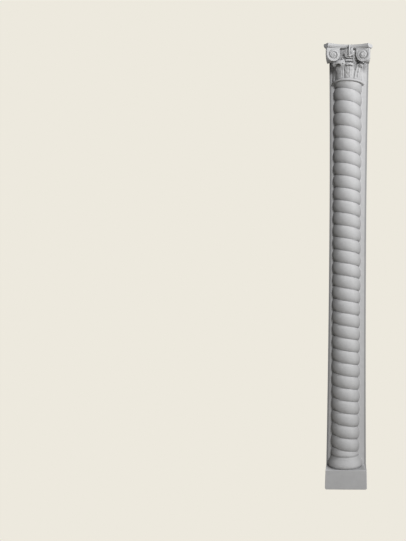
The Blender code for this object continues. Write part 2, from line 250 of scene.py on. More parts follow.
def changed(piece, kind, settings):
    """Adds a modifier, sets it and applies it."""
    hold(piece)
    ops.object.modifier_add(type=kind)
    modifier = piece.modifiers[-1]
    for key, value in settings.items():
        setattr(modifier, key, value)
    ops.object.modifier_apply(modifier=modifier.name)


def joined(name, pieces):
    hold(*pieces)
    ops.object.join()
    piece = bpy.context.object
    piece.name = piece.data.name = name
    return piece


def combined(first, other, operation):
    """Unites the first closed shape with another, or takes the other out of it."""
    changed(first, "BOOLEAN", {"operation": operation, "object": other, "solver": "EXACT"})
    bpy.data.objects.remove(other)


def mirrored(piece, name, plane):
    """A copy of a piece, mirrored in an upright plane through the axis, given by its normal."""
    hold(piece)
    ops.object.duplicate()
    twin = bpy.context.object
    twin.name = twin.data.name = name
    to_axis = Matrix.Translation(AXIS)
    mirror = Matrix.Scale(-1.0, 4, Vector(plane).normalized())
    twin.matrix_world = to_axis @ mirror @ to_axis.inverted()
    hold(twin)
    ops.object.transform_apply(location=True, rotation=True, scale=True)
    face_outward(twin)
    return twin


# %% [markdown]
# ## The twisted shaft
#
# The real shaft looks like one fat rope laid in a coil: its hollows fall to the right as they
# cross the front, thirty of them from top to foot. A helix could be cut with a swept tool, but
# it is simpler to draw one strand's rounded outline and let the Screw modifier wind it down. The
# strand is full and round, with a sharp line between it and the next, so its outline is an arc
# whose points crowd together where it turns in.

# %% The strand and its winding
STRAND_STEPS = 20
SHAFT_STEPS = 96
STRAND_FULLNESS = 0.66


def strand_outline(top):
    """The outline of one strand, from the hollow at its top to the next hollow below."""
    points = []
    for step in range(STRAND_STEPS + 1):
        share = (1 - math.cos(math.pi * step / STRAND_STEPS)) / 2
        swell = (1 - (2 * share - 1) ** 2) ** STRAND_FULLNESS
        points.append((SHAFT_RADIUS - STRAND_DEPTH * (1 - swell), top - STRAND_PITCH * share))
    return points


shaft_low, shaft_high = PLINTH_HEIGHT - BITE, RING_FOOT + BITE
front_groove = RING_FOOT - COLLAR_HEIGHT
strands_above = math.ceil((shaft_high - front_groove) / STRAND_PITCH) + 1
strand_top = front_groove + strands_above * STRAND_PITCH
strand_turns = math.ceil((strand_top - shaft_low) / STRAND_PITCH) + 1

shaft = drawn_line(
    "shaft", [round_axis(0.0, radius, height) for radius, height in strand_outline(strand_top)]
)
hold(shaft)
bpy.context.scene.cursor.location = AXIS
ops.object.origin_set(type="ORIGIN_CURSOR")
changed(
    shaft,
    "SCREW",
    {
        "angle": math.tau,
        "screw_offset": -STRAND_PITCH,
        "iterations": strand_turns,
        "steps": SHAFT_STEPS,
        "render_steps": SHAFT_STEPS,
    },
)
hold(shaft)
ops.object.transform_apply(location=True, rotation=True, scale=True)
weld(shaft)
print("the wound strand has", triangles(shaft), "triangles")

# %% [markdown]
# ## The swelling base
#
# Above the plinth the real column spreads like a soft cushion. The last strand doesn't stop at
# it: it sinks into it, with a soft ring-shaped hollow between and a few brush-wide ripples, as
# where wet plaster is wiped round by hand. So the base isn't a piece of its own. The wound strand
# runs down to the plinth, and there its points are moved outwards to whichever is the larger,
# strand or swelling, with the step between the two melted away.

# %% The swelling and its ripples
BASE_ZONE = BASE_TOP + 0.05
UNDERCUT = 0.62
SWELL_POWER = 1.15
TUCKED_IN = 0.004
SOFTNESS = 0.0035
SOFT_HOLLOW_HEIGHT, SOFT_HOLLOW_WIDTH, SOFT_HOLLOW_DEPTH = 0.1655, 0.0060, 0.0040
RIPPLE_HEIGHT, RIPPLE_SPREAD, RIPPLE_DEPTH = 0.182, 0.011, 0.0005
RIPPLE_PITCH, RIPPLE_FALL = 0.0085, 0.004


def swelling(height):
    """The radius of the cushion alone."""
    fullest = PLINTH_HEIGHT + BASE_UNDER_HEIGHT
    if height < fullest:
        under = min(1.0, (fullest - height) / BASE_UNDER_HEIGHT)
        return BASE_RADIUS - UNDERCUT * BASE_UNDER_HEIGHT * under * under
    share = min(1.0, (BASE_TOP - height) / (BASE_TOP - fullest))
    if share <= 0:
        return SHAFT_RADIUS - TUCKED_IN + 0.4 * (BASE_TOP - height)
    rise = math.sin(math.pi / 2 * share) ** SWELL_POWER
    return SHAFT_RADIUS - TUCKED_IN + (BASE_RADIUS - SHAFT_RADIUS + TUCKED_IN) * rise


def melted(first, second, softness):
    """The larger of two values, with a smooth way over from one to the other."""
    high, low = max(first, second), min(first, second)
    return high + softness * math.log1p(math.exp((low - high) / softness))


def around(value, middle, width):
    """1 at the middle, falling softly to 0 on both sides."""
    return math.exp(-(((value - middle) / width) ** 2))


print("the cushion is", round(2 * swelling(PLINTH_HEIGHT + BASE_UNDER_HEIGHT), 4), "m across")

# %% The strand sinks into the base
open_piece(shaft)
pick(shaft, "faces", lambda f: all(v.co.z < BASE_ZONE for v in f.verts))
ops.mesh.subdivide(number_cuts=1)
let_go()
for vertex in shaft.data.vertices:
    height = vertex.co.z
    if height > BASE_ZONE:
        continue
    arm = Vector((vertex.co.x, vertex.co.y, 0.0)) - AXIS
    radius = melted(arm.length, swelling(height), SOFTNESS)
    turn = math.atan2(arm.x, -arm.y)
    hollow = SOFT_HOLLOW_DEPTH * around(height, SOFT_HOLLOW_HEIGHT, SOFT_HOLLOW_WIDTH)
    wiped = around(height, RIPPLE_HEIGHT, RIPPLE_SPREAD)
    phase = math.tau * (height + RIPPLE_FALL * turn) / RIPPLE_PITCH
    ripple = RIPPLE_DEPTH * wiped * math.sin(phase)
    vertex.co = AXIS + arm.normalized() * (radius - hollow + ripple) + Vector((0, 0, height))

cut_off(shaft, (0.0, 0.0, shaft_low), (0.0, 0.0, -1.0))
cut_off(shaft, (0.0, 0.0, shaft_high), (0.0, 0.0, 1.0))
cut_off(shaft, (0.0, PANEL_THICKNESS / 2, 0.0), (0.0, 1.0, 0.0))
face_outward(shaft)
print("shaft and base have", triangles(shaft), "triangles")

# %% [markdown]
# ## The panel
#
# The flat panel is what joins the half column to its wall. On the real piece its sides draw in
# by a few millimetres towards the middle of its height. It starts as a block whose upright edges
# are subdivided into rows, and each row is then resized to its own width. Two insets on its face
# draw the line inside which the painted shadow along the outer edges ends.


# %% The panel
PANEL_CUTS = 31
PANEL_ARRIS = 0.0028
PANEL_MARGIN = 0.0060
MARGIN_LINE = 0.0015


def panel_half_width(height):
    upper = height > PANEL_WAIST_HEIGHT
    end = HEIGHT if upper else 0.0
    spread = PANEL_TOP_SPREAD if upper else PANEL_FOOT_SPREAD
    share = (height - PANEL_WAIST_HEIGHT) / (end - PANEL_WAIST_HEIGHT)
    return PANEL_HALF_WIDTH + spread * share * share


let_go()
panel_low, panel_high = PLINTH_HEIGHT / 2, ABACUS_FOOT + BITE
ops.mesh.primitive_cube_add(
    size=1.0,
    location=(0.0, PANEL_THICKNESS / 2, (panel_low + panel_high) / 2),
    scale=(2.0, PANEL_THICKNESS, panel_high - panel_low),
)
panel = just_added("panel")
open_piece(panel)
pick(panel, "edges", lambda e: abs(e.verts[0].co.z - e.verts[1].co.z) > 1.0)
ops.mesh.subdivide(number_cuts=PANEL_CUTS)
rows = sorted({round(v.co.z, 4) for v in bmesh.from_edit_mesh(panel.data).verts})
for row in rows:
    pick(panel, "verts", lambda v: abs(v.co.z - row) < 1e-3)
    ops.transform.resize(value=(panel_half_width(row), 1.0, 1.0), center_override=(0, 0, row))
pick(
    panel,
    "edges",
    lambda e: all(v.co.y < 1e-4 for v in e.verts)
    and abs(e.verts[0].co.x - e.verts[1].co.x) < 0.02,
)
ops.mesh.bevel(offset=PANEL_ARRIS, segments=3)
pick(panel, "faces", lambda f: f.normal.y < -0.99)
ops.mesh.inset(thickness=PANEL_MARGIN, depth=0.0)
ops.mesh.inset(thickness=MARGIN_LINE, depth=0.0)
let_go()
print("the panel has", len(rows), "rows and", triangles(panel), "triangles")

# %% [markdown]
# ## The plinth
#
# A plain block closes the foot. Its sides lean out a little towards the floor, and its foot is
# rounded at the left and right, where a cast loses its sharp corner first. A cube is resized at
# its top, and two bevels give the worn corner and the softer arrises.

# %% The plinth
PLINTH_ARRIS = 0.0026
let_go()
ops.mesh.primitive_cube_add(
    size=1.0,
    location=(0.0, (PANEL_THICKNESS - PLINTH_REACH) / 2, PLINTH_HEIGHT / 2),
    scale=(
        2 * (PLINTH_HALF_WIDTH + PLINTH_BATTER),
        PANEL_THICKNESS + PLINTH_REACH,
        PLINTH_HEIGHT,
    ),
)
plinth = just_added("plinth")
open_piece(plinth)
pick(plinth, "faces", lambda f: f.normal.z > 0.9)
lean_in = PLINTH_HALF_WIDTH / (PLINTH_HALF_WIDTH + PLINTH_BATTER)
ops.transform.resize(value=(lean_in, 1.0, 1.0), center_override=(0.0, 0.0, PLINTH_HEIGHT))
pick(
    plinth,
    "edges",
    lambda e: all(v.co.z < 1e-4 for v in e.verts)
    and abs(e.verts[0].co.y - e.verts[1].co.y) > 0.05,
)
ops.mesh.bevel(offset=PLINTH_ROUNDING, segments=6)
pick(
    plinth,
    "edges",
    lambda e: any(v.co.y < -0.05 for v in e.verts) and e.calc_face_angle(0.0) > math.radians(35),
)
ops.mesh.bevel(offset=PLINTH_ARRIS, segments=3)
let_go()
print("the plinth has", triangles(plinth), "triangles")

# %% [markdown]
# ## The bell of the capital
#
# A capital is built like a basket: a plain bell with a thin ring at its foot and a rounded band
# under the slab on top, and the leaves, the stem and the scrolls laid against it. Bell, band and
# ring are turned in one profile.


# %% The bell and the ring
FLOWER_FOOT = HEIGHT - 0.059
CUP_FOOT = FLOWER_FOOT - 0.026
RING_LIP = 0.0030
BEAD_STEPS = 8


def bell_profile():
    """Distances from the axis and heights: the band, the wall behind the leaves, the ring."""
    points = [
        (0.0, ABACUS_FOOT + BITE),
        (BELL_LIP_RADIUS + 0.0055, ABACUS_FOOT + BITE),
        (BELL_LIP_RADIUS + 0.0055, ABACUS_FOOT - 0.005),
        (BELL_LIP_RADIUS + 0.0035, ABACUS_FOOT - 0.013),
        (BELL_LIP_RADIUS - 0.0005, ABACUS_FOOT - 0.020),
        (BELL_LIP_RADIUS - 0.0055, ABACUS_FOOT - 0.027),
        (BELL_LIP_RADIUS - 0.0060, FLOWER_FOOT),
        (BELL_LIP_RADIUS - 0.0085, CUP_FOOT),
        (BELL_WAIST_RADIUS + 0.001, CUP_FOOT - BITE),
        (BELL_WAIST_RADIUS, RING_TOP + 0.042),
        (BELL_FOOT_RADIUS, RING_TOP),
        (RING_RADIUS - 0.0035, RING_TOP),
        (RING_RADIUS - 0.0035, RING_TOP - RING_LIP),
    ]
    bead = (RING_HEIGHT - RING_LIP) / 2
    for step in range(BEAD_STEPS + 1):
        angle = math.pi * (0.5 - step / BEAD_STEPS)
        radius = RING_RADIUS - bead * (1 - math.cos(angle))
        points.append((radius, RING_FOOT + bead + bead * math.sin(angle)))
    return points + [(SHAFT_RADIUS - STRAND_DEPTH, RING_FOOT), (0.0, RING_FOOT)]


bell = turned("bell", bell_profile())
print("the bell has", triangles(bell), "triangles")

# %% [markdown]
# ## The abacus
#
# The slab on top is a square with hollow sides and cut corners, and a small cove under its flat
# edge. Each hollow side is one sweep of a template pinned far out in front, so here a turned
# cutter with that same profile is taken out of a block, once for each side. The block is made a
# little too tall and too deep, and is cut to size later, which leaves its top and back flat.

# %% The cutter for a hollow side
COVE_STEP, COVE_REACH, COVE_SHOULDER = 0.0022, 0.0062, 0.0008
COVE_STEPS = 6
CLEARANCE = 0.02
horn_half = ABACUS_HALF_WIDTH - HORN_CUT
sweep = (horn_half**2 + SIDE_HOLLOW**2) / (2 * SIDE_HOLLOW)
sweep_centre = ABACUS_HALF_WIDTH - SIDE_HOLLOW + sweep


def side_cutter(name, centre):
    """A round cutter that leaves a flat edge above a cove."""
    points = [(0.0, HEIGHT + CLEARANCE), (sweep, HEIGHT + CLEARANCE), (sweep, FILLET_FOOT)]
    points.append((sweep + COVE_STEP, FILLET_FOOT))
    for step in range(COVE_STEPS + 1):
        angle = math.pi / 2 * step / COVE_STEPS
        out = sweep + COVE_STEP + COVE_REACH * (1 - math.cos(angle))
        down = FILLET_FOOT - COVE_SHOULDER - (ABACUS_COVE - COVE_SHOULDER) * math.sin(angle)
        points.append((out, down))
    points += [(points[-1][0], ABACUS_FOOT - CLEARANCE), (0.0, ABACUS_FOOT - CLEARANCE)]
    cutter = turned(name, points, steps=360)
    hold(cutter)
    ops.transform.translate(value=(centre[0], centre[1], 0.0))
    ops.object.transform_apply(location=True)
    return cutter


print("a hollow side is swept at", round(sweep, 3), "m")

# %% The abacus and its hollow sides
OVERSIZE = 0.002
slab_back, slab_top = PANEL_THICKNESS + OVERSIZE, HEIGHT + OVERSIZE
let_go()
ops.mesh.primitive_cube_add(
    size=1.0,
    location=(COLUMN_SHIFT, (slab_back - ABACUS_HALF_WIDTH) / 2, (ABACUS_FOOT + slab_top) / 2),
    scale=(2 * ABACUS_HALF_WIDTH, slab_back + ABACUS_HALF_WIDTH, slab_top - ABACUS_FOOT),
)
abacus = just_added("abacus")
open_piece(abacus)
pick(
    abacus,
    "edges",
    lambda e: all(v.co.y < -0.1 for v in e.verts)
    and abs(e.verts[0].co.z - e.verts[1].co.z) > 0.01,
)
ops.mesh.bevel(offset=HORN_CUT, segments=1)
let_go()
for name, centre in (
    ("front_cutter", (0.0, -sweep_centre)),
    ("left_cutter", (-sweep_centre, 0.0)),
    ("right_cutter", (sweep_centre, 0.0)),
):
    combined(abacus, side_cutter(name, centre), "DIFFERENCE")
print("the abacus has", triangles(abacus), "triangles")

# %% [markdown]
# ## The corner scrolls
#
# Under each horn two scroll faces meet, one in front and one at the flank. A sculptor would carve
# both from one block. Here one flat face is drawn, round below and square up into the abacus. Its
# mirror image is the other face, and the body between them is their hull.

# %% The scroll bodies
VOLUTE_RADIUS = 0.036
VOLUTE_REACH = ABACUS_HALF_WIDTH - 0.0178
VOLUTE_OFFSET = ABACUS_HALF_WIDTH - 0.0533
VOLUTE_TURN = math.radians(10)
RIM_STEPS = 24
VOLUTE_CENTRE = Vector((VOLUTE_OFFSET, -VOLUTE_REACH, ABACUS_FOOT - VOLUTE_RADIUS))
FACE_TURN = Matrix.Rotation(-VOLUTE_TURN, 4, "Z")


def on_face(angle, radius, lift=0.0):
    """A point of the right front face: angle 0 is towards the horn, a quarter turn is up."""
    flat = Vector((radius * math.cos(angle), -lift, radius * math.sin(angle)))
    return AXIS + VOLUTE_CENTRE + FACE_TURN @ flat


DIAGONAL = (1.0, 1.0, 0.0)
ACROSS = (1.0, 0.0, 0.0)

rim = [on_face(-math.pi * step / RIM_STEPS, VOLUTE_RADIUS) for step in range(RIM_STEPS + 1)]
corners = [Vector((end.x, end.y, ABACUS_FOOT + BITE)) for end in (rim[-1], rim[0])]
front_face = drawn_line("scroll_right", rim + corners)
flank_face = mirrored(front_face, "scroll_flank", DIAGONAL)
scroll_right = joined("scroll_right", [front_face, flank_face])
open_piece(scroll_right)
ops.mesh.select_all(action="SELECT")
ops.mesh.convex_hull()
face_outward(scroll_right)
print("a scroll body has", triangles(scroll_right), "triangles")

# %% [markdown]
# ## The hollow way and the eye
#
# The middle of each scroll face swells into a low dome, and a hollow way winds over it to a small
# round eye, as if a gouge had been led round. A raised thread would catch the light on the wrong
# side. So a rod is laid along the spiral, widest low down, and taken out of the dome.

# %% The dome and the hollow way
SWELL_RADIUS = 0.0245
SWELL_HEIGHT = 0.0042
SPIRAL_TURNS = 1.9
WAY_STEPS = 60
WAY_START = math.radians(100)
WAY_OUTER, WAY_INNER = 0.0285, 0.0082
WAY_WIDEST, WAY_SPREAD, WAY_LEAD_IN = 0.27, 0.22, 0.14
WAY_TIP, WAY_THIN, WAY_WIDER = 0.0006, 0.0016, 0.0031
EYE_RADIUS, EYE_HEIGHT, EYE_SUNK = 0.0058, 0.0040, 0.0008


def swell_lift(radius):
    """How far the low dome in the middle of a scroll stands out, this far from the eye."""
    return SWELL_HEIGHT * math.sqrt(max(0.0, 1 - (radius / SWELL_RADIUS) ** 2))


def face_dome(name, radius, height, lift=0.0):
    """A low dome in the middle of the right front face."""
    let_go()
    ops.mesh.primitive_uv_sphere_add(segments=32, ring_count=18, radius=radius)
    dome = just_added(name)
    open_piece(dome)
    ops.mesh.select_all(action="SELECT")
    ops.transform.resize(value=(1.0, height / radius, 1.0))
    ops.transform.translate(value=(0.0, -lift, 0.0))
    let_go()
    dome.matrix_world = Matrix.Translation(AXIS + VOLUTE_CENTRE) @ FACE_TURN
    hold(dome)
    ops.object.transform_apply(location=True, rotation=True, scale=True)
    return dome


def channel(name):
    """A rod for the hollow way that winds in to the eye: widest low down, thin at both ends."""
    points, radii = [], []
    for step in range(WAY_STEPS + 1):
        share = step / WAY_STEPS
        angle = WAY_START - math.tau * SPIRAL_TURNS * share
        radius = WAY_OUTER * (WAY_INNER / WAY_OUTER) ** share
        wide = around(share, WAY_WIDEST, WAY_SPREAD)
        points.append(on_face(angle, radius, swell_lift(radius) + 0.0004 - 0.0006 * wide))
        radii.append(WAY_TIP + min(1.0, share / WAY_LEAD_IN) * (WAY_THIN + WAY_WIDER * wide))
    return rod(name, points, radii)


print("the dome stands out by", swell_lift(0.0), "m")

# %% Both faces of a scroll, and the other scroll
for on_flank in (False, True):
    swell = face_dome("swell", SWELL_RADIUS, SWELL_HEIGHT)
    hollow_way = channel("hollow_way")
    for shape, operation in ((swell, "UNION"), (hollow_way, "DIFFERENCE")):
        if on_flank:
            front_shape = shape
            shape = mirrored(front_shape, "flank_" + front_shape.name, DIAGONAL)
            bpy.data.objects.remove(front_shape)
        combined(scroll_right, shape, operation)
eye = face_dome("eye", EYE_RADIUS, EYE_HEIGHT, SWELL_HEIGHT - EYE_SUNK)
eye_flank = mirrored(eye, "eye_flank", DIAGONAL)
scroll_right = joined("scroll_right", [scroll_right, eye, eye_flank])
scroll_left = mirrored(scroll_right, "scroll_left", ACROSS)
print("a scroll with its spirals has", triangles(scroll_right), "triangles")

# %% [markdown]
# ## The leaves
#
# Each leaf hugs the bell, leans out and curls over at its tip. On the real cast they are blunt
# and upright, with a few soft reeds that run nearly straight from foot to tip, more like a bundle
# of fingers than a cut acanthus. Their tips are folded or rolled into balls. A grid is given the
# leaf's outline row by row and a thickness, a rod laid up it stands for each reed, and spheres
# stand for the folds and the balls. They all melt together later, when the capital gets its skin.

# %% How a leaf runs
LEAF_THICKNESS = 0.0085
PILLOW = 0.0035
UPRIGHT = 0.66
TIP_CURL = math.radians(195)
SHEET_WIDTH = 0.94
REED_STEPS = 14


def leaf_spine(share, tall, curl, lean):
    """Height above the leaf's foot and distance from the axis, along its middle."""
    foot = BELL_FOOT_RADIUS + 0.0005
    if share <= UPRIGHT:
        rise = share / UPRIGHT
        return rise * (tall - curl), foot + lean * rise**1.5
    turn = (share - UPRIGHT) / (1 - UPRIGHT) * TIP_CURL
    return tall - curl + curl * math.sin(turn), foot + lean + curl * (1 - math.cos(turn))


def leaf_point(leaf, across, share, lift=0.0):
    """A point of a leaf: across runs from -1 to 1 between its edges, share from foot to tip."""
    share = max(0.0, min(1.0, share))
    height, reach = leaf_spine(share, leaf["tall"], leaf["curl"], leaf["lean"])
    half = leaf["foot_half"] + (leaf["top_half"] - leaf["foot_half"]) * min(1.0, share / UPRIGHT)
    if share > UPRIGHT:
        half *= 1 - leaf["taper"] * ((share - UPRIGHT) / (1 - UPRIGHT)) ** 2
    angle = leaf["foot_angle"] + (leaf["tip_angle"] - leaf["foot_angle"]) * share
    wrap = half * across / max(reach, BELL_FOOT_RADIUS)
    droop = leaf["droop"] * across * across * max(0.0, 2 * share - 1)
    return round_axis(math.radians(angle) + wrap, reach + lift, RING_TOP - BITE + height - droop)


# %% The sheet and the reeds of a leaf
def leaf_sheet(name, leaf):
    """A grid whose rows are moved onto the leaf's run, then given a thickness."""
    let_go()
    ops.mesh.primitive_grid_add(x_subdivisions=14, y_subdivisions=30, size=2.0)
    sheet = just_added(name)
    for vertex in sheet.data.vertices:
        pillow = PILLOW * (1 - vertex.co.x**2)
        vertex.co = leaf_point(leaf, SHEET_WIDTH * vertex.co.x, (vertex.co.y + 1) / 2, pillow)
    changed(
        sheet,
        "SOLIDIFY",
        {"thickness": LEAF_THICKNESS, "offset": 0.0, "use_even_offset": False},
    )
    return sheet


def reed(leaf, foot_across, tip_across, start, end, thick):
    """A round reed that swells towards the tip and ends in a blunt bud."""
    points, radii = [], []
    for step in range(REED_STEPS + 1):
        run = step / REED_STEPS
        across = foot_across + (tip_across - foot_across) * run
        share = start + (end - start) * run
        pillow = PILLOW * (1 - across**2)
        points.append(leaf_point(leaf, across, share, pillow + 0.0002))
        radii.append(thick * (0.62 + 0.38 * math.sin(math.pi * (0.1 + 0.8 * run))))
    return rod("reed", points, radii, roundness=2)


def reeded_leaf(name, leaf, reeds):
    return joined(name, [leaf_sheet(name, leaf)] + [reed(leaf, *numbers) for numbers in reeds])


# %% The front leaf and its neighbours
FOLIAGE_TURN = 5.0
front_leaf = {
    "foot_angle": FOLIAGE_TURN, "tip_angle": FOLIAGE_TURN, "tall": 0.078, "curl": 0.0054,
    "lean": 0.0095, "foot_half": 0.0220, "top_half": 0.0255, "taper": 0.30, "droop": 0.0060,
}
left_leaf = {
    "foot_angle": -32.0, "tip_angle": -31.0, "tall": 0.091, "curl": 0.0125,
    "lean": 0.0085, "foot_half": 0.0180, "top_half": 0.0300, "taper": 0.16, "droop": 0.0090,
}
right_leaf = {
    "foot_angle": 40.0, "tip_angle": 45.0, "tall": 0.081, "curl": 0.0080,
    "lean": 0.0125, "foot_half": 0.0215, "top_half": 0.0200, "taper": 0.92, "droop": 0.0020,
}
# each reed: where it is across the leaf at its foot and tip, where it starts and ends, its radius
leaves = [
    reeded_leaf(
        "leaf_front",
        front_leaf,
        [
            (-0.62, -0.84, 0.10, 0.80, 0.0036),
            (-0.28, -0.44, 0.04, 0.92, 0.0040),
            (0.12, 0.16, 0.00, 0.96, 0.0068),
            (0.52, 0.70, 0.06, 0.86, 0.0042),
        ],
    ),
    reeded_leaf(
        "leaf_left",
        left_leaf,
        [
            (-0.70, -0.84, 0.08, 0.90, 0.0044),
            (-0.10, -0.30, 0.02, 0.96, 0.0048),
            (0.96, 0.52, 0.02, 0.84, 0.0062),
        ],
    ),
    reeded_leaf("leaf_right", right_leaf, [(-0.04, -0.06, 0.00, 0.86, 0.0095)]),
]
print("the front leaf has", triangles(leaves[0]), "triangles")


# %% The balls and the folds at the tips
def leaf_knob(name, leaf, across, share, radius):
    """The ball that the tip of a leaf is rolled into."""
    let_go()
    ops.mesh.primitive_uv_sphere_add(
        segments=24, ring_count=16, radius=radius, location=leaf_point(leaf, across, share)
    )
    return just_added(name)


for name, leaf, places, share, radius in (
    ("knob_right", right_leaf, (0.0,), 0.88, 0.0152),
    ("knob_left", left_leaf, (-0.80,), 0.93, 0.0118),
    ("bud_front", front_leaf, (0.34,), 0.50, 0.0072),
    ("fold", front_leaf, (-0.62, 0.02, 0.62), 0.80, 0.0080),
    ("fold", left_leaf, (-0.34, 0.14, 0.62), 0.82, 0.0092),
):
    for across in places:
        leaves.append(leaf_knob(name, leaf, across, share, radius))

# %% The plain leaves on the wall side
for side, name in ((-1, "leaf_left_wall"), (1, "leaf_right_wall")):
    wall_leaf = {
        "foot_angle": 84.0 * side, "tip_angle": 84.0 * side, "tall": 0.070, "curl": 0.0010,
        "lean": -0.0015, "foot_half": 0.0200, "top_half": 0.0170, "taper": 0.80, "droop": 0.0120,
    }
    leaves.append(leaf_sheet(name, wall_leaf))
print("leaves, balls and folds:", len(leaves))

# %% [markdown]
# ## The stem, the cup and the flower
#
# Left of the middle leaf a short stem swells upwards and ends in a round head under the scroll. In
# the middle a small banded cup holds a palmette. Its tall middle petal stands well out and
# overlaps the abacus, and round lobes fan out on both sides of it, with deep hollows between. The
# stem and the bands are rods. The petals are stretched spheres, each modelled upright and then
# turned to its place in the fan.

# %% The stem
STEM_STEPS = 10
STEM_FOOT, STEM_TALL = RING_TOP + 0.050, 0.060
STEM_SUNK = 0.004
STEM_FOOT_THICK, STEM_SWELL = 0.0055, 0.0065
points, radii = [], []
for step in range(STEM_STEPS + 1):
    share = step / STEM_STEPS
    angle = math.radians(FOLIAGE_TURN - 18 - 9 * share * share)
    reach = BELL_WAIST_RADIUS - STEM_SUNK + (BELL_LIP_RADIUS - BELL_WAIST_RADIUS) * share
    rounded = math.sqrt(1 - (max(0.0, share - 0.7) / 0.32) ** 2)
    points.append(round_axis(angle, reach, STEM_FOOT + STEM_TALL * share))
    radii.append((STEM_FOOT_THICK + STEM_SWELL * share) * rounded)
stem = rod("stem", points, radii)
print("the stem has", triangles(stem), "triangles")

# %% The fan of petals
flower_angle = math.radians(FOLIAGE_TURN)
flower_height = HEIGHT - FLOWER_FOOT
top_reach = ABACUS_HALF_WIDTH - SIDE_HOLLOW + 0.004
flower_root = (
    Matrix.Translation(round_axis(flower_angle, BELL_LIP_RADIUS + 0.003, FLOWER_FOOT))
    @ Matrix.Rotation(flower_angle, 4, "Z")
    @ Matrix.Rotation(math.atan2(top_reach - BELL_LIP_RADIUS, flower_height), 4, "X")
)
MIDDLE_PETAL = 0.0640
LOBE_SIZE = (0.0150, 0.0150, 0.0270)
FAN_CENTRE = 4.0  # millimetres below the flower's foot
# each lobe: across, up and forward, in millimetres
LOBES = [
    (13.0, 30.0, 3.5), (18.5, 17.0, 3.0), (14.5, 6.0, 3.5),
    (-11.0, 27.0, -1.5), (-18.0, 14.0, 0.5), (-13.0, 5.0, 1.5),
]
flower = []


def flower_ball(name, across, up, forward, width, thickness, length, degrees=0.0):
    """A stretched ball at its place in the plane of the flower, sizes in metres."""
    let_go()
    ops.mesh.primitive_uv_sphere_add(segments=24, ring_count=18, radius=0.5)
    ball = just_added(name)
    open_piece(ball)
    ops.mesh.select_all(action="SELECT")
    ops.transform.resize(value=(width, thickness, length))
    let_go()
    place = Matrix.Translation(Vector((across, -forward, up)))
    ball.matrix_world = flower_root @ place @ Matrix.Rotation(math.radians(degrees), 4, "Y")
    hold(ball)
    ops.object.transform_apply(location=True, rotation=True, scale=True)
    return ball


for name, up, forward, width, thickness, length in (
    ("shield", 0.018, -0.001, 0.048, 0.017, 0.046),
    ("rib", 0.46 * MIDDLE_PETAL, 0.0080, 0.0105, 0.0260, MIDDLE_PETAL),
    ("head", 0.0545, 0.0085, 0.0125, 0.0120, 0.0125),
    ("knot", 0.004, 0.004, 0.0240, 0.0170, 0.0120),
):
    flower.append(flower_ball(name, 0.0, up, forward, width, thickness, length))
for across, up, forward in LOBES:
    lean_out = math.degrees(math.atan2(across, up + FAN_CENTRE))
    flower.append(
        flower_ball("lobe", across / 1000, up / 1000, forward / 1000, *LOBE_SIZE, lean_out)
    )
print("the flower has", len(flower), "parts")

# %% The bands of the cup
CUP_HALF_WIDTH = 0.0205
CUP_STEPS = 12
cup_reach = BELL_LIP_RADIUS - 0.0010
spread = CUP_HALF_WIDTH / cup_reach
cup = []
for height, radius in ((FLOWER_FOOT - 0.0040, 0.0034), (CUP_FOOT + 0.0076, 0.0062)):
    points = []
    for step in range(CUP_STEPS + 1):
        angle = flower_angle + spread * (2 * step / CUP_STEPS - 1)
        points.append(round_axis(angle, cup_reach, height))
    cup.append(rod("cup_band", points, [radius] * len(points)))
print("flower and cup have", sum(triangles(part) for part in flower + cup), "triangles")

# %% [markdown]
# ## Casting the capital in one
#
# A plaster cast has no joints: where a leaf meets the bell the surface just runs on, and every
# arris is a little soft. A voxel remesh does the same to overlapping shapes. It rebuilds them as
# one skin, which is then smoothed a little.

# %% One skin for the capital
VOXEL = 0.0011
body = [bell, abacus, scroll_right, scroll_left, stem]
capital = joined("capital", body + leaves + flower + cup)
cut_off(capital, (0.0, PANEL_THICKNESS + OVERSIZE, 0.0), (0.0, 1.0, 0.0))
changed(capital, "REMESH", {"mode": "VOXEL", "voxel_size": VOXEL})
changed(capital, "SMOOTH", {"factor": 0.5, "iterations": 5})
print("the remeshed capital has", triangles(capital), "triangles")

# %% [markdown]
# ## Lumps of an old cast
#
# An old cast is seldom crisp: moulds wear and paint fills the cuts, so the carving looks a little
# lumpy. A brush could raise each lump by hand. Here a soft noise moves the points of the leaves
# and the flower along their normals, by less than three millimetres. The bare bell, the ring and
# the abacus stay true, and the scroll faces get about a third of it.


# %% Lumps on the carving
def points_and_normals(mesh):
    """The places and the normals of a mesh's points, as tables of three columns."""
    place, normal = np.empty(3 * len(mesh.vertices)), np.empty(3 * len(mesh.vertices))
    mesh.vertices.foreach_get("co", place)
    mesh.vertex_normals.foreach_get("vector", normal)
    return place.reshape(-1, 3), normal.reshape(-1, 3)


LUMP_DEPTH, LUMP_WIDTH = 0.0018, 0.0145
SCROLL_SHARE = 0.35
skin = capital.data
place, normal = points_and_normals(skin)
reach = np.hypot(place[:, 0] - COLUMN_SHIFT, place[:, 1])
level = place[:, 2]
bare = np.where(level > CUP_FOOT - 0.012, BELL_LIP_RADIUS, BELL_WAIST_RADIUS + 0.002)
carved = np.clip((reach - bare) / 0.003, 0, 1) * (level > RING_TOP + 0.003)
carved = carved * np.clip((ABACUS_FOOT - 0.001 - level) / 0.004, 0, 1)
scroll_face = (reach > BELL_LIP_RADIUS + 0.02) & (level > ABACUS_FOOT - 2 * VOLUTE_RADIUS)
carved = np.where(scroll_face, SCROLL_SHARE * carved, carved)
lumps = np.zeros(len(place))
for index in np.nonzero(carved > 0)[0]:
    spot = Vector(place[index]) / LUMP_WIDTH
    lumps[index] = noise.noise(spot) + 0.4 * noise.noise(2.1 * spot)
place += normal * (LUMP_DEPTH * carved * lumps)[:, None]
skin.vertices.foreach_set("co", place.ravel())
skin.update()
print("lumps on", int((carved > 0).sum()), "points")

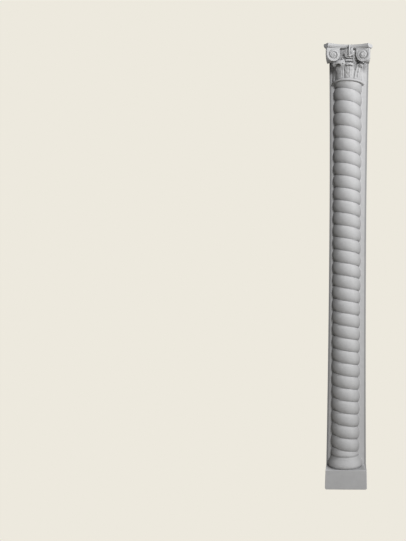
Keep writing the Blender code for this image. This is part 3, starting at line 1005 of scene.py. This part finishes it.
# %% [markdown]
# ## Thinning and trimming the capital
#
# The skin is thinned where it is flat, since a flat place needs few triangles. Then the top and
# the back are cut to size, as a caster strikes off the open side of a mould with a straight edge.

# %% The top and the back are struck off
CAPITAL_TRIANGLES = 90000
changed(capital, "DECIMATE", {"ratio": min(1.0, CAPITAL_TRIANGLES / triangles(capital))})
cut_off(capital, (0.0, 0.0, HEIGHT - 0.0001), (0.0, 0.0, 1.0))
cut_off(capital, (0.0, PANEL_THICKNESS - 0.0003, 0.0), (0.0, 1.0, 0.0))
print("the thinned capital has", triangles(capital), "triangles")

# %% [markdown]
# ## One cast
#
# The lower parts are plain closed shapes, so they are united exactly, which keeps the line where
# the shaft meets the panel as crisp as a run moulding. The capital is set on top of them. Smooth
# shading, weighted by the size of the faces, keeps the large flat ones flat to the eye.

# %% The whole column
SHARPEST_SMOOTH = math.radians(38)
for part in (panel, shaft):
    combined(plinth, part, "UNION")
print("the lower part has", triangles(plinth), "triangles")
column = joined("plaster_cast", [plinth, capital])
hold(column)
ops.object.shade_smooth_by_angle(angle=SHARPEST_SMOOTH)
changed(column, "WEIGHTED_NORMAL", {"keep_sharp": True})
print("the whole cast has", triangles(column), "triangles")

# %% [markdown]
# ## Hollows and edges
#
# The hollows, the shaft's flanks and the panel's outer edges are darkened with painted shade: the
# hollows where shade falls in them, the flanks where the shaft turns away from the front, and a
# painted shadow along the panel's outer edges. All of them follow the shape, so they are worked
# out once from the mesh and kept on it as numbers at its points. A hollow is a place whose
# neighbours stand above it.


# %% Reading the hollows from the mesh
SHORTEST_STEP = 5e-4
DEEP_HOLLOW = 90.0
RIDGE_LIMIT = -0.6


def neighbours(mesh):
    ends = np.empty(2 * len(mesh.edges), dtype=np.int64)
    mesh.edges.foreach_get("vertices", ends)
    return ends[0::2], ends[1::2]


def point_mean(values, first, second, count):
    """The mean of the neighbours' values at each point."""
    total = np.bincount(first, values[second], count) + np.bincount(second, values[first], count)
    links = np.bincount(first, minlength=count) + np.bincount(second, minlength=count)
    return total / np.maximum(links, 1)


def hollow_amount(mesh, rounds):
    """From 0 on flats and ridges to 1 in deep hollows, and the places of the points."""
    place, normal = points_and_normals(mesh)
    count = len(place)
    first, second = neighbours(mesh)
    step = place[second] - place[first]
    length = np.maximum(np.linalg.norm(step, axis=1), SHORTEST_STEP)
    total = np.bincount(first, (step * normal[first]).sum(axis=1) / length**2, count)
    total += np.bincount(second, (-step * normal[second]).sum(axis=1) / length**2, count)
    links = np.bincount(first, minlength=count) + np.bincount(second, minlength=count)
    value = np.clip(total / np.maximum(links, 1) / DEEP_HOLLOW, RIDGE_LIMIT, 1.0)
    for _ in range(rounds):
        value = 0.5 * value + 0.5 * point_mean(value, first, second, count)
    return np.clip(value, 0.0, 1.0), place


def keep_on_points(mesh, name, values):
    layer = mesh.attributes.new(name, "FLOAT", "POINT")
    layer.data.foreach_set("value", values.astype(np.float32))


# %% Keeping hollows, margin, flank shade and wiped shaft on the points
MARGIN_ALLOWANCE = 0.0033
FLANK_SHADE_FROM, FLANK_SHADE_WIDTH = 0.5, 0.65  # turns round the axis, in radians from the front
hollow, place = hollow_amount(column.data, 2)
out, forward, level = place[:, 0], -place[:, 1], place[:, 2]
half = np.array([panel_half_width(height) for height in level])
on_panel = (forward < 0.0005) & (level > PLINTH_HEIGHT - 0.002)
# the margin is the band along the panel's outer edges where a shadow is painted
margin = on_panel & (np.abs(out) > half - PANEL_MARGIN - MARGIN_ALLOWANCE)
# the flank shade is painted shade: it darkens the shaft where it turns away from the front
on_shaft = (forward > 0.001) & (level > PLINTH_HEIGHT) & (level < RING_FOOT)
turn = np.abs(np.arctan2(out - COLUMN_SHIFT, forward))
grime = np.where(on_shaft, np.clip((turn - FLANK_SHADE_FROM) / FLANK_SHADE_WIDTH, 0, 1), 0.0)
hollow[on_panel] = 0.0
keep_on_points(column.data, "hollow", hollow)
keep_on_points(column.data, "margin", margin.astype(float))
keep_on_points(column.data, "grime", grime)
keep_on_points(column.data, "wiped", on_shaft.astype(float))
print("hollow points", int((hollow > 0.3).sum()), "margin points", int(margin.sum()))

# %% [markdown]
# ## Plaster
#
# Old plaster is pale grey, quite matt, and never one flat colour: it has faint clouds, a fine
# grain, and marks of the hand that wiped it. These run along the strand, and are hardly there off
# the shaft. So one noise is stretched in a wound direction: its height is measured along the coil,
# by adding the turn round the axis. Nothing is painted by hand, so the pattern stays put on any
# copy.


# %% Nodes for sums, noises and ranges
def math_node(tree, operation, first, second=None, third=None):
    node = tree.nodes.new("ShaderNodeMath")
    node.operation = operation
    for socket, value in zip(node.inputs, (first, second, third)):
        if isinstance(value, (int, float)):
            socket.default_value = value
        elif value is not None:
            tree.links.new(value, socket)
    return node.outputs["Value"]


def noise_node(tree, coordinates, scale, detail, roughness=0.5):
    node = tree.nodes.new("ShaderNodeTexNoise")
    node.inputs["Scale"].default_value = scale
    node.inputs["Detail"].default_value = detail
    node.inputs["Roughness"].default_value = roughness
    tree.links.new(coordinates, node.inputs["Vector"])
    return node.outputs["Fac"]


def range_node(tree, value, low, high, to_low, to_high):
    node = tree.nodes.new("ShaderNodeMapRange")
    for name, number in (
        ("From Min", low), ("From Max", high), ("To Min", to_low), ("To Max", to_high)
    ):
        node.inputs[name].default_value = number
    tree.links.new(value, node.inputs["Value"])
    return node.outputs["Result"]


# %% The wiped streaks
STREAK_ACROSS, STREAK_ALONG = 26.0, 0.9


def wound_coordinates(tree, place):
    """Coordinates along the coil: distance round the axis, and height less the coil's fall."""
    parts = tree.nodes.new("ShaderNodeSeparateXYZ")
    tree.links.new(place, parts.inputs["Vector"])
    across = math_node(tree, "SUBTRACT", parts.outputs["X"], COLUMN_SHIFT)
    outward = math_node(tree, "MULTIPLY", parts.outputs["Y"], -1.0)
    turn = math_node(tree, "ARCTAN2", across, outward)
    level = math_node(tree, "MULTIPLY_ADD", turn, STRAND_PITCH / math.tau, parts.outputs["Z"])
    wound = tree.nodes.new("ShaderNodeCombineXYZ")
    tree.links.new(math_node(tree, "MULTIPLY", turn, STREAK_ALONG), wound.inputs["X"])
    tree.links.new(math_node(tree, "MULTIPLY", level, STREAK_ACROSS), wound.inputs["Y"])
    return wound.outputs["Vector"]


# %% The plaster
PLASTER_TONE = 0.60
CLOUD_TONE, PATCH_TONE, STREAK_TONE = 0.012, 0.020, 0.022
# the tone is multiplied by these where the painted shade in the hollows, the painted shadow along
# the panel's edges and the painted shade on the flanks are fullest
HOLLOW_PAINTED_SHADE, EDGE_PAINTED_SHADOW, FLANK_PAINTED_SHADE = 0.58, 0.62, 0.80
BLUE_SHARE = 1.012
STREAKS_OFF_SHAFT = 0.12


def plaster_material():
    material = bpy.data.materials.new("plaster")
    material.use_nodes = True
    tree = material.node_tree
    shader = tree.nodes["Principled BSDF"]
    place = tree.nodes.new("ShaderNodeTexCoord").outputs["Object"]
    kept = {}
    for name in ("hollow", "margin", "grime", "wiped"):
        node = tree.nodes.new("ShaderNodeAttribute")
        node.attribute_name = name
        kept[name] = node.outputs["Fac"]

    clouds = noise_node(tree, place, 5.0, 4.0)
    patches = noise_node(tree, place, 38.0, 4.0, 0.6)
    wound = noise_node(tree, wound_coordinates(tree, place), 6.0, 4.0, 0.65)
    rest = math_node(tree, "SUBTRACT", wound, 0.5)
    strength = range_node(tree, kept["wiped"], 0.0, 1.0, STREAKS_OFF_SHAFT, 1.0)
    streaks = math_node(tree, "ADD", math_node(tree, "MULTIPLY", rest, strength), 0.5)

    tone = PLASTER_TONE
    for pattern, most in ((clouds, CLOUD_TONE), (patches, PATCH_TONE), (streaks, STREAK_TONE)):
        tone = math_node(tree, "ADD", tone, range_node(tree, pattern, 0.3, 0.7, -most, most))
    # painted shade: darker in the hollows
    hollow_shade = range_node(tree, kept["hollow"], 0.02, 0.5, 1.0, HOLLOW_PAINTED_SHADE)
    # a painted shadow along the panel's outer edges
    edge_shadow = range_node(tree, kept["margin"], 0.0, 1.0, 1.0, EDGE_PAINTED_SHADOW)
    # painted shade on the shaft's flanks, which turn away from the front
    grime = range_node(tree, kept["grime"], 0.0, 1.0, 1.0, FLANK_PAINTED_SHADE)
    for shade in (hollow_shade, edge_shadow, grime):
        tone = math_node(tree, "MULTIPLY", tone, shade)
    colour = tree.nodes.new("ShaderNodeCombineColor")
    tree.links.new(tone, colour.inputs["Red"])
    tree.links.new(tone, colour.inputs["Green"])
    tree.links.new(math_node(tree, "MULTIPLY", tone, BLUE_SHARE), colour.inputs["Blue"])
    tree.links.new(colour.outputs["Color"], shader.inputs["Base Color"])

    grain = noise_node(tree, place, 260.0, 4.0, 0.6)
    tree.links.new(range_node(tree, patches, 0.3, 0.7, 0.80, 0.94), shader.inputs["Roughness"])
    shader.inputs["Specular IOR Level"].default_value = 0.3
    height = math_node(tree, "MULTIPLY_ADD", grain, 0.35, streaks)
    bump = tree.nodes.new("ShaderNodeBump")
    bump.inputs["Strength"].default_value = 0.5
    bump.inputs["Distance"].default_value = 0.0018
    tree.links.new(height, bump.inputs["Height"])
    tree.links.new(bump.outputs["Normal"], shader.inputs["Normal"])
    return material


column.data.materials.clear()
column.data.materials.append(plaster_material())
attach(column, "root")
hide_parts("plaster_column")
print("the plaster is on", column.name)

# %% [markdown]
# ## The studio
#
# The column stands on a plain cream floor before a cream backdrop of the same tone, so that no
# line is seen between them. Both look bright to the camera alone: the cast is lit by the lamps
# and by a dull floor, or its shadows would fill with cream.

# %% Floor and backdrop
CREAM = (0.847, 0.815, 0.730, 1.0)
DULL_FLOOR = (0.30, 0.29, 0.26, 1.0)


def shown_to_camera(tree, lit, bright, output):
    """Shows one shader to the camera, and lets the other light the scene."""
    seen = tree.nodes.new("ShaderNodeLightPath")
    blend = tree.nodes.new("ShaderNodeMixShader")
    tree.links.new(seen.outputs["Is Camera Ray"], blend.inputs["Fac"])
    tree.links.new(lit, blend.inputs[1])
    tree.links.new(bright, blend.inputs[2])
    tree.links.new(blend.outputs["Shader"], tree.nodes[output].inputs["Surface"])


def stage_material():
    material = bpy.data.materials.new("stage")
    material.use_nodes = True
    tree = material.node_tree
    shader = tree.nodes["Principled BSDF"]
    shader.inputs["Base Color"].default_value = DULL_FLOOR
    shader.inputs["Roughness"].default_value = 1.0
    glow = tree.nodes.new("ShaderNodeEmission")
    glow.inputs["Color"].default_value = CREAM
    glow.inputs["Strength"].default_value = 1.0
    shown_to_camera(tree, shader.outputs["BSDF"], glow.outputs["Emission"], "Material Output")
    return material


let_go()
ops.mesh.primitive_plane_add(size=30.0, location=(0.0, 0.0, 0.0))
floor = just_added("floor")
floor.data.materials.append(stage_material())
print("the floor is", round(floor.dimensions.x, 1), "m wide")

# %% [markdown]
# ## The light
#
# A broad key lamp, high and to the right, throws the soft shadow on the left of every strand. A
# fill lamp nearer the front keeps that shadow open, and a back lamp lights the sides that the
# photograph doesn't show. Their powers were found by comparing how bright the shaft is, point by
# point across it, with the photograph.

# %% Sky and lamps
SKY_STRENGTH = 0.08
LAMP_TARGET = Vector((0.0, 0.0, 1.25))
LAMP_DISTANCE = 4.5
world = bpy.data.worlds.new("studio")
bpy.context.scene.world = world
world.use_nodes = True
sky = world.node_tree.nodes["Background"]
sky.inputs["Color"].default_value = (0.80, 0.80, 0.80, 1.0)
sky.inputs["Strength"].default_value = SKY_STRENGTH
backdrop = world.node_tree.nodes.new("ShaderNodeBackground")
backdrop.inputs["Color"].default_value = CREAM
shown_to_camera(
    world.node_tree, sky.outputs["Background"], backdrop.outputs["Background"], "World Output"
)


def lamp(name, azimuth, elevation, size, power):
    """An area lamp that looks at the middle of the column; azimuth is to the right of front."""
    a, e = math.radians(azimuth), math.radians(elevation)
    away = Vector((math.sin(a) * math.cos(e), -math.cos(a) * math.cos(e), math.sin(e)))
    let_go()
    ops.object.light_add(type="AREA", location=LAMP_TARGET + away * LAMP_DISTANCE)
    made = bpy.context.object
    made.name = name
    made.data.size = size
    made.data.energy = power
    made.rotation_euler = (-away).to_track_quat("-Z", "Y").to_euler()
    print("the", name, "lamp has", power, "W")


lamp("key", 62.0, 31.0, 1.3, 114.0)
lamp("fill", 14.0, 22.0, 1.3, 92.0)
lamp("back", 195.0, 28.0, 1.6, 110.0)

# %% [markdown]
# ## The camera
#
# The photograph was taken level and from straight in front, from about one and a third times the
# column's height away, and the column stands off to the right of the frame. So the camera looks
# straight ahead and its lens is shifted, and it leans by less than half a degree.

# %% The camera
CAMERA_DISTANCE, CAMERA_HEIGHT = 3.220, 1.137
CAMERA_LEAN = math.radians(-0.42)
let_go()
ops.object.camera_add(
    location=(0.0, -CAMERA_DISTANCE, CAMERA_HEIGHT), rotation=(math.radians(90), CAMERA_LEAN, 0.0)
)
camera = bpy.context.object
camera.name = "camera"
camera.data.sensor_width = 36.0
camera.data.lens = 38.46
camera.data.shift_x = -0.267
camera.data.shift_y = 0.016
bpy.context.scene.camera = camera
bpy.context.scene.view_settings.view_transform = "Standard"
print("the camera is", round(CAMERA_DISTANCE / HEIGHT, 2), "column heights away")
